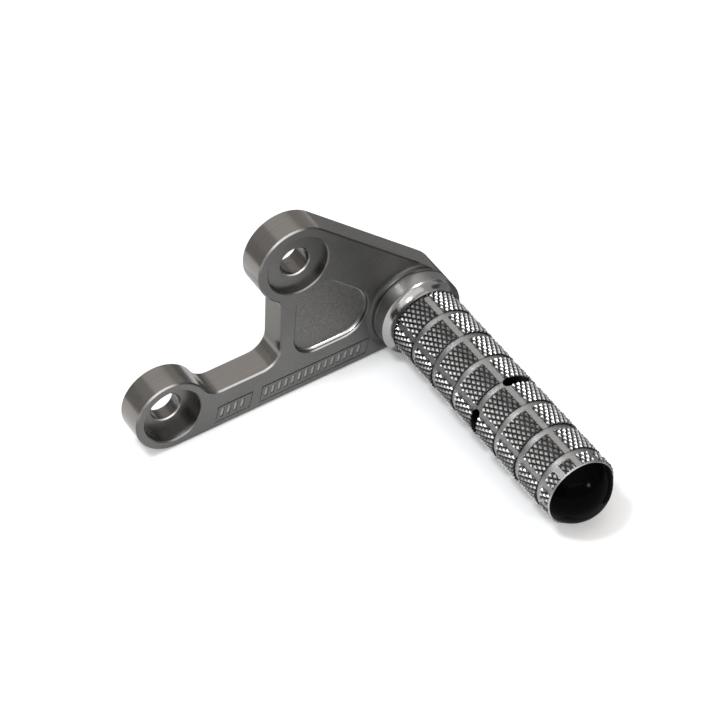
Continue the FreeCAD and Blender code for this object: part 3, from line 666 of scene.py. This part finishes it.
def milled_aluminium():
    """Milled plate: each zone is a mask from 0 to 1, and each gets its own colour, some of it
    painted light and shade.
    """
    finish = Finish("milled_aluminium")
    x, y, z = finish.parts(finish.place())
    normal = finish.parts(finish.node("ShaderNodeTexCoord", output="Normal"))

    # How the surface faces: 0 on the walls round the plate, 1 on its front.
    facing = normal[1].math("ABSOLUTE")
    front = facing.step(0.9, 0.97)
    wall = 1 - facing.step(0.1, 0.4)
    rising = normal[2].step(0.1, 0.8)
    chamfer = band(facing, *CHAMFER_FACING, 0.01)

    # Where it lies.
    arm_radius = distance_from(x, z, 0.0, 0.0)
    upper_radius = distance_from(x, z, UPPER_X, UPPER_Z)
    peg_radius = distance_from(x, z, PEG_X, PEG_Z)
    in_arm = inside(arm_radius, ARM_SINK_R)
    in_upper = inside(upper_radius, UPPER_SINK_R)
    near_peg = 1 - peg_radius.step(*PAD_LIMITS)
    sunk = band(y, *SINK_REACH, 0.3)
    bored = (in_arm + in_upper) * sunk
    bore = inside(arm_radius, BORE_LIMIT) + inside(upper_radius, BORE_LIMIT)
    bore_rim = inside(arm_radius, BORE_RIM_LIMIT) + inside(upper_radius, BORE_RIM_LIMIT)
    inner_rim = inside(arm_radius, ARM_RIM_LIMIT) + inside(upper_radius, UPPER_RIM_LIMIT)
    pocket_floor = band(-y, POCKET_FLOOR - 0.05, POCKET_FLOOR + 0.05, 0.04) * front
    pocket_wall = band(-y, POCKET_FLOOR + 0.02, POCKET_FLOOR + 0.93, 0.03)
    pocket_fillet = pocket_wall * band(facing, 0.25, 0.92, 0.05) * (1 - near_peg) * (1 - bored)
    pad_fillet_shade = near_peg * band(facing, 0.25, 0.97, 0.02)
    under_face = band(-y, PLATE_FRONT - 0.6, PLATE_FRONT - 0.06, 0.02) * front
    engraved = under_face * (1 - in_arm) * (1 - in_upper) * (1 - z.step(*ENGRAVED_TOP))
    edge_highlight_zone = normal[2].step(0.15, 0.6) * (1 - normal[0].step(0.05, 0.25))
    fillet_highlight = rising * (1 - normal[0].step(0.05, 0.4))

    # The marks of brush and cutter.
    grain = finish.noise(3.2, 2.0)
    cloudy = finish.noise(0.07, 3.0)
    feed_lines = finish.noise(1.0, 2.0, (0.04, 2.2, 0.04))
    speckle = finish.noise(2.4, 3.0, rough=0.7).step(*MIDDLE)
    arm_rings = in_arm * sunk * ring_marks(finish, arm_radius, RING_FINENESS)
    upper_rings = in_upper * sunk * ring_marks(finish, upper_radius, RING_FINENESS)
    pad_rings = 0.4 * near_peg * ring_marks(finish, peg_radius, PAD_FINENESS)
    rings = front * (arm_rings + upper_rings + pad_rings)

    level = 0.4 * cloudy + 0.6 * grain
    plate = finish.blend(level.step(*MIDDLE), grey(0.113, 0.02), grey(0.149, 0.02))
    rough_floor = finish.blend(speckle, grey(0.103, 0.02), grey(0.178, 0.03))
    sides = finish.blend(feed_lines.step(*MIDDLE), grey(0.177, 0.06), grey(0.200, 0.07))
    # Painted highlight: the broken edges that look up are drawn lighter, less so on the inner rims.
    edges = finish.blend(edge_highlight_zone * (1 - 0.6 * inner_rim), grey(0.11), grey(0.46))
    colour = layered(finish, plate, (
        (pocket_floor, rough_floor),
        (wall, sides),
        (chamfer, edges),
        # Counterbore walls: painted shade, with a painted highlight where they look up.
        (bored * wall, finish.blend(rising, grey(0.05), grey(0.28))),
        # The engraving is drawn lighter: a painted highlight for the bright edges of its letters.
        (engraved, grey(0.30)),
        # The fillet round the pad is drawn dark: painted shade in the corner.
        (pad_fillet_shade * 0.9, grey(0.07)),
        # The pocket's fillet: a painted highlight, brightest where it looks up.
        (pocket_fillet, finish.blend(fillet_highlight, grey(0.20), grey(0.60))),
        # The bores: painted shade in the hollow, mottled.
        (bore, finish.blend(speckle, grey(0.07, 0.06), grey(0.15, 0.06))),
        # The bore rims that look up: a painted highlight.
        (chamfer * bore_rim * rising, grey(0.75)),
    ))
    roughness = (0.38 + 0.08 * grain - 0.22 * wall - 0.1 * chamfer + 0.04 * pocket_floor
                 - 0.16 * pocket_fillet - 0.1 * bored * front)
    height = 0.5 * grain + 0.2 * wall * feed_lines + 1.2 * rings + 0.6 * pocket_floor * grain
    return finish.surface(Base_Color=colour, Metallic=1.0, Roughness=roughness,
                          Normal=finish.bump(height))


print("plate front at", round(PLATE_FRONT, 2), "pocket floor at", round(POCKET_FLOOR, 2))

# %% [markdown]
# ## Turned aluminium
#
# The lathe's tool leaves a very fine thread of marks round the peg. Each mark leans the surface to
# and fro along the axis, so a lamp above the peg is smeared into a bright streak along it. The
# marks are much finer than a pixel of the picture, so they aren't drawn one by one: a random lean
# of the surface, small in most places, spreads the light in the same way. The tips of the knurl
# are drawn bright, partly wear and partly painted highlight. Its valleys are drawn dark, partly
# dirt and partly painted shade, and the walls of the ring grooves dark, painted shade. The broken
# rim at the open end is drawn a little lighter, a painted highlight.

# %% The finish of the barrel
ABOVE_GROOVES = (GROOVE_FLOOR + 0.06, GROOVE_FLOOR + 0.1)
TIP_RISE = (GRIP_R - KNURL_DEPTH + 0.05, GRIP_R - 0.25)
MARKS_PER_MM = 31
LEAN = 0.45
LEAN_LESS_IN_COVE = 0.33


def turned_aluminium():
    """Turned and knurled bar, from the smooth foot to the tips of the grip, drawn bright by wear
    and painted highlight.
    """
    finish = Finish("turned_aluminium")
    x, y, z = finish.parts(finish.place())
    reach = -y
    radius = distance_from(x, z, PEG_X, PEG_Z)
    facing = finish.parts(finish.node("ShaderNodeTexCoord", output="Normal"))[1].math("ABSOLUTE")
    lines = finish.noise(1.0, 2.0, (0.02, 3.0, 0.02))
    grain = finish.noise(1.6, 3.0)
    wear_and_sheen_patches = finish.noise(1.1, 2.0).step(0.35, 0.65)

    # Where the surface lies.
    grip = reach.step(KNURL_START - 0.1, KNURL_START)
    lip_start = BARREL_END - END_LIP
    in_end = reach.step(lip_start - 0.02, lip_start + 0.02) * facing.step(0.3, 0.5)
    high = radius.step(*TIP_RISE)
    above_grooves = radius.step(*ABOVE_GROOVES)
    knurled = grip * above_grooves
    crevice = grip * (1 - high) * above_grooves
    ring_wall_shade = grip * (1 - in_end) * facing.step(0.8, 0.95)
    cove_zone = reach.step(FLANGE_END - 0.2, FLANGE_END)
    collar = (1 - cove_zone) + grip * (1 - knurled)

    colour = layered(finish, finish.blend(lines, grey(0.31, 0.012), grey(0.39, 0.012)), (
        # Knurl tips drawn bright: partly wear, partly painted highlight.
        (grip * high, finish.blend(wear_and_sheen_patches, grey(0.41), grey(0.66))),
        # Knurl valleys drawn dark: partly dirt, partly painted shade.
        (crevice, finish.blend(wear_and_sheen_patches, grey(0.02, 0.02), grey(0.07, 0.02))),
        # The walls of the ring grooves are drawn dark: painted shade.
        (ring_wall_shade, grey(0.025)),
        # The broken end rim is drawn a little lighter: a painted highlight.
        (in_end, grey(0.42)),
    ))
    roughness = (0.13 + 0.14 * grip + 0.08 * lines + 0.15 * crevice - 0.1 * in_end
                 + 0.12 * collar)

    # Cubing the random lean keeps it small in most places.
    marks = finish.place((MARKS_PER_MM, MARKS_PER_MM, MARKS_PER_MM))
    shiver = finish.node("ShaderNodeTexWhiteNoise", {"noise_dimensions": "3D"}, {"Vector": marks},
                         "Value")
    lean_by = 2 * shiver - 1
    most = LEAN - LEAN_LESS_IN_COVE * cove_zone * (1 - grip)
    spread = lean_by * lean_by * lean_by * most * (1 - knurled)
    lean = finish.node("ShaderNodeCombineXYZ", None, {"Y": spread})
    marked = finish.node("ShaderNodeVectorMath", {"operation": "ADD"},
                         {0: finish.bump(0.7 * lines + 0.3 * grain), 1: lean})
    marked = finish.node("ShaderNodeVectorMath", {"operation": "NORMALIZE"}, {0: marked})
    return finish.surface(Base_Color=colour, Metallic=1.0, Roughness=roughness, Normal=marked)


print("flange up to", round(FLANGE_END, 2), "knurl from", round(KNURL_START, 2))

# %% [markdown]
# ## Plastic and plain steel
#
# The end plug is moulded in black plastic with a soft gloss. The washer is hidden, and the screw
# shows only its end, behind the bracket. Both get a plain steel with a cloudy plating.

# %% The finishes of the plug, the screw and the washer
BLACKEST = (0.0005, 0.0005, 0.0006, 1)
BLACK = (0.0012, 0.0012, 0.0014, 1)
SCREW_LEVEL = 0.42
WASHER_LEVEL = 0.38
GREY_SPREAD = 0.15


def black_plastic():
    """Moulded plastic with a soft gloss."""
    finish = Finish("black_plastic")
    haze = finish.noise(0.25, 2.0)
    return finish.surface(Base_Color=finish.blend(haze, BLACKEST, BLACK),
                          Roughness=0.11 + 0.04 * haze, Specular_IOR_Level=0.016)


def uneven_grey(finish, pattern, level):
    """A grey that wanders a little to both sides of its level."""
    return finish.blend(pattern, grey(level * (1 - GREY_SPREAD)), grey(level * (1 + GREY_SPREAD)))


def plain_steel(name, level):
    """Plated steel, a little cloudy."""
    finish = Finish(name)
    cloudy = finish.noise(0.6, 3.0)
    return finish.surface(Base_Color=uneven_grey(finish, cloudy, level), Metallic=1.0,
                          Roughness=0.3 + 0.15 * cloudy)


print("screw level", SCREW_LEVEL, "washer level", WASHER_LEVEL)

# %% [markdown]
# ## Each piece gets its finish
#
# The new barrel and plug stand for their nodes, and the other nodes are shown as they were built.
# The bracket's round faces are shaded smooth too, so that they catch the light without facets.

# %% Dress the pieces
FINISHES = {
    "bracket": milled_aluminium(),
    "knurled_barrel": turned_aluminium(),
    "domed_plug": black_plastic(),
    "peg_screw": plain_steel("screw_steel_finish", SCREW_LEVEL),
    "lock_washer": plain_steel("washer_steel_finish", WASHER_LEVEL),
}
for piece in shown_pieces():
    piece.data.materials.clear()
    piece.data.materials.append(FINISHES[piece.name])
shade(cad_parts["bracket"])
print("finished:", sorted(FINISHES))

# %% [markdown]
# ## The photo studio
#
# Catalogue photographs of bright metal are lit by one broad soft light above and a pale floor that
# throws some of it back. The paper here glows a little for the camera and for mirror images alone,
# so that it reads as white without putting more light on the piece.

# %% Floor and room
FLOOR_HALF = 3
FLOOR_GAP = 0.0001
PAPER_GLOW = 0.14
ROOM_COLOUR = (1.0, 0.975, 0.95, 1)
ROOM_STRENGTH = 0.64


def plain_board(name, corners, material):
    """A flat board through four points in metres."""
    mesh = bpy.data.meshes.new(name)
    mesh.from_pydata([Vector(corner) for corner in corners], [], [(0, 1, 2, 3)])
    board = bpy.data.objects.new(name, mesh)
    bpy.context.scene.collection.objects.link(board)
    board.data.materials.append(material)
    board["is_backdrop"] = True
    return board


def studio_paper(glow):
    """Pale paper. What looks straight at it, or at its mirror image, sees it a little whiter."""
    finish = Finish("studio_paper")
    kinds = ("Is Camera Ray", "Is Glossy Ray", "Is Transmission Ray")
    direct, mirrored, through = (finish.node("ShaderNodeLightPath", output=kind) for kind in kinds)
    seen = direct.math("MAXIMUM", mirrored).math("MAXIMUM", through)
    fibre = finish.noise(0.02, 3.0)
    colour = finish.blend(fibre, (0.79, 0.79, 0.79, 1), (0.81, 0.81, 0.81, 1))
    return finish.surface(Base_Color=colour, Roughness=0.9,
                          Emission_Color=finish.blend(seen, (0, 0, 0, 1), (1, 1, 1, 1)),
                          Emission_Strength=glow, Specular_IOR_Level=0.0)


def level_corners(x_low, x_high, y_low, y_high, z):
    """The four corners of a level board."""
    return [(x_low, y_low, z), (x_high, y_low, z), (x_high, y_high, z), (x_low, y_high, z)]


low_corner, high_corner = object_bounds()
middle = (low_corner + high_corner) / 2
floor_z = low_corner.z - FLOOR_GAP
floor_corners = level_corners(-FLOOR_HALF, FLOOR_HALF, -FLOOR_HALF, FLOOR_HALF, floor_z)
plain_board("floor", floor_corners, studio_paper(PAPER_GLOW))

world = bpy.data.worlds.new("studio_room")
bpy.context.scene.world = world
world.use_nodes = True
backdrop = world.node_tree.nodes["Background"]
backdrop.inputs["Color"].default_value = ROOM_COLOUR
backdrop.inputs["Strength"].default_value = ROOM_STRENGTH
print("floor at", round(floor_z / MM, 2), "mm")

# %% [markdown]
# ## Lamps
#
# One broad softbox hangs overhead. A small lamp high on the left draws the streak along the turned
# metal, a broad weak one fills in from behind, and two more in front of the peg put the glint on
# the plug, on the cove and on the polished edges. These four are placed by their direction from
# the piece, because with bare metal it's the direction that decides which face shows a lamp.

# %% Place the lamps
# The broad one: the spot below it, counted from the piece, how high it hangs and its sides, all
# in metres.
OVERHEAD_SPOT = Vector((-0.25, -0.38, 0))
OVERHEAD_RISE = Vector((0, 0, 0.9))
OVERHEAD_SIDES = (1.5, 1.15)
OVERHEAD_RADIANCE = 0.9
WHITE = (1, 1, 1)
COOL = (0.92, 0.96, 1.0)
# The others: name, azimuth and elevation in degrees, distance and sides in metres, radiance and
# colour.
AIMED_LAMPS = (
    ("streak_light", -101, 71, 1.0, (0.20, 0.20), 42.0, COOL),
    ("back_softbox", 168, 45, 1.2, (1.1, 0.45), 0.5, WHITE),
    ("front_strip", -14, 36, 1.15, (0.9, 0.14), 2.6, WHITE),
    ("front_light", 22, 19, 1.0, (0.10, 0.10), 80.0, WHITE),
)


def towards(azimuth, elevation=0):
    """The direction from the piece: azimuth 0 looks along -Y and 90 along +X, in degrees."""
    a, e = math.radians(azimuth), math.radians(elevation)
    return Vector((math.sin(a) * math.cos(e), -math.cos(a) * math.cos(e), math.sin(e)))


def softbox(name, place, aim, sides, radiance, colour):
    """A flat lamp turned towards a point. Its power is radiance times pi times area."""
    lamp = bpy.data.lights.new(name, "AREA")
    lamp.shape = "RECTANGLE"
    lamp.size, lamp.size_y = sides
    lamp.energy = radiance * math.pi * sides[0] * sides[1]
    lamp.color = colour
    holder = bpy.data.objects.new(name, lamp)
    bpy.context.scene.collection.objects.link(holder)
    holder.location = place
    holder.rotation_euler = (aim - place).to_track_quat("-Z", "Y").to_euler()


spot = middle + OVERHEAD_SPOT
softbox("overhead_softbox", spot + OVERHEAD_RISE, spot, OVERHEAD_SIDES, OVERHEAD_RADIANCE, WHITE)
for name, azimuth, elevation, distance, sides, radiance, colour in AIMED_LAMPS:
    place = middle + towards(azimuth, elevation) * distance
    softbox(name, place, middle, sides, radiance, colour)
print("lamps:", sorted(lamp.name for lamp in bpy.data.lights))

# %% [markdown]
# ## Cards
#
# Bare metal shows its surroundings, so in a studio grey cards stand round it. Each card draws a
# dark band with a clean border in the faces that mirror it, and that is what makes round metal look
# round. The cards here are seen in mirror images alone: the camera looks through them, and they
# neither throw a shadow nor shade the floor.

# %% Stand and lay the cards
# Standing cards: name, azimuth in degrees, distance, width and height in metres, grey level.
STANDING_CARDS = (
    ("left_back_card", -132, 0.29, 0.40, 0.13, 0.42),
    ("right_back_card", 132, 0.125, 0.30, 0.05, 0.28),
    ("front_card", 78, 0.28, 0.24, 0.08, 0.10),
    ("left_card", -82, 1.3, 1.7, 0.80, 0.06),
    ("right_card", 95, 1.3, 1.0, 1.10, 0.10),
)
# Lying cards: name, x from and to, y from and to in millimetres, grey level.
LYING_CARDS = (
    # The card under the peg is painted shadow: it darkens the floor beneath the peg where the
    # barrel mirrors it.
    ("peg_shadow_card", 75, 100, -120, -12, 0.38),
    ("right_floor_card", 100, 230, -125, 40, 0.10),
    ("back_floor_card", 0, 38, 6, 48, 0.60),
)
CARD_LIFT = MM


def place_card(name, corners, level):
    """A matt grey card that only the mirror images in bare metal show."""
    finish = Finish(name)
    colour = uneven_grey(finish, finish.noise(0.02, 3.0), level)
    matt = finish.surface(Base_Color=colour, Roughness=0.9, Specular_IOR_Level=0.0)
    card = plain_board(name, corners, matt)
    card.visible_camera = False
    card.visible_diffuse = False
    card.visible_shadow = False


for name, azimuth, distance, width, height, level in STANDING_CARDS:
    across = towards(azimuth + 90) * width / 2
    foot = middle + towards(azimuth) * distance
    foot.z = floor_z
    top = Vector((0, 0, height))
    corners = [foot - across, foot + across, foot + across + top, foot - across + top]
    place_card(name, corners, level)
for name, x_low, x_high, y_low, y_high, level in LYING_CARDS:
    sides = (x_low * MM, x_high * MM, y_low * MM, y_high * MM)
    place_card(name, level_corners(*sides, floor_z + CARD_LIFT), level)
print("cards:", [row[0] for row in STANDING_CARDS + LYING_CARDS])

# %% [markdown]
# ## The camera
#
# The picture was taken from in front of the peg's end and well above it, with a long lens from
# about a metre away, so the piece hardly narrows with distance. The camera was tipped a little
# sideways too. Its angles, distance and lens were fitted until the outlines met.

# %% Place the camera
# Angles in degrees, DISTANCE and TARGET in metres, LENS and SENSOR_WIDTH in millimetres.
AZIMUTH = -26.4
ELEVATION = 44.55
ROLL = -5.8
DISTANCE = 0.950
TARGET = Vector((0.05004, -0.0455, 0.0256))
LENS = 154.437
SENSOR_WIDTH = 36.0
NEAREST, FARTHEST = 0.05, 20.0

roll = math.radians(ROLL)
back = towards(AZIMUTH, ELEVATION)
level_right = towards(AZIMUTH + 90)
level_up = back.cross(level_right)
right = level_right * math.cos(roll) + level_up * math.sin(roll)
up = level_up * math.cos(roll) - level_right * math.sin(roll)
camera_data = bpy.data.cameras.new("camera")
camera_data.lens = LENS
camera_data.sensor_width = SENSOR_WIDTH
camera_data.clip_start = NEAREST
camera_data.clip_end = FARTHEST
camera = bpy.data.objects.new("camera", camera_data)
bpy.context.scene.collection.objects.link(camera)
turn = Matrix((right, up, back)).transposed()
camera.matrix_world = Matrix.Translation(TARGET + back * DISTANCE) @ turn.to_4x4()
bpy.context.scene.camera = camera
bpy.context.scene.view_settings.view_transform = "Standard"
print("camera at", [round(value, 3) for value in camera.location])

# %% [markdown]
# ## The shown size
#
# The box of the dressed model is printed in millimetres.

# %% Print the shown size
shown_low, shown_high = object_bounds()
shown = [round((high - low) / MM, 2) for low, high in zip(shown_low, shown_high)]
print("shown size in mm:", shown)
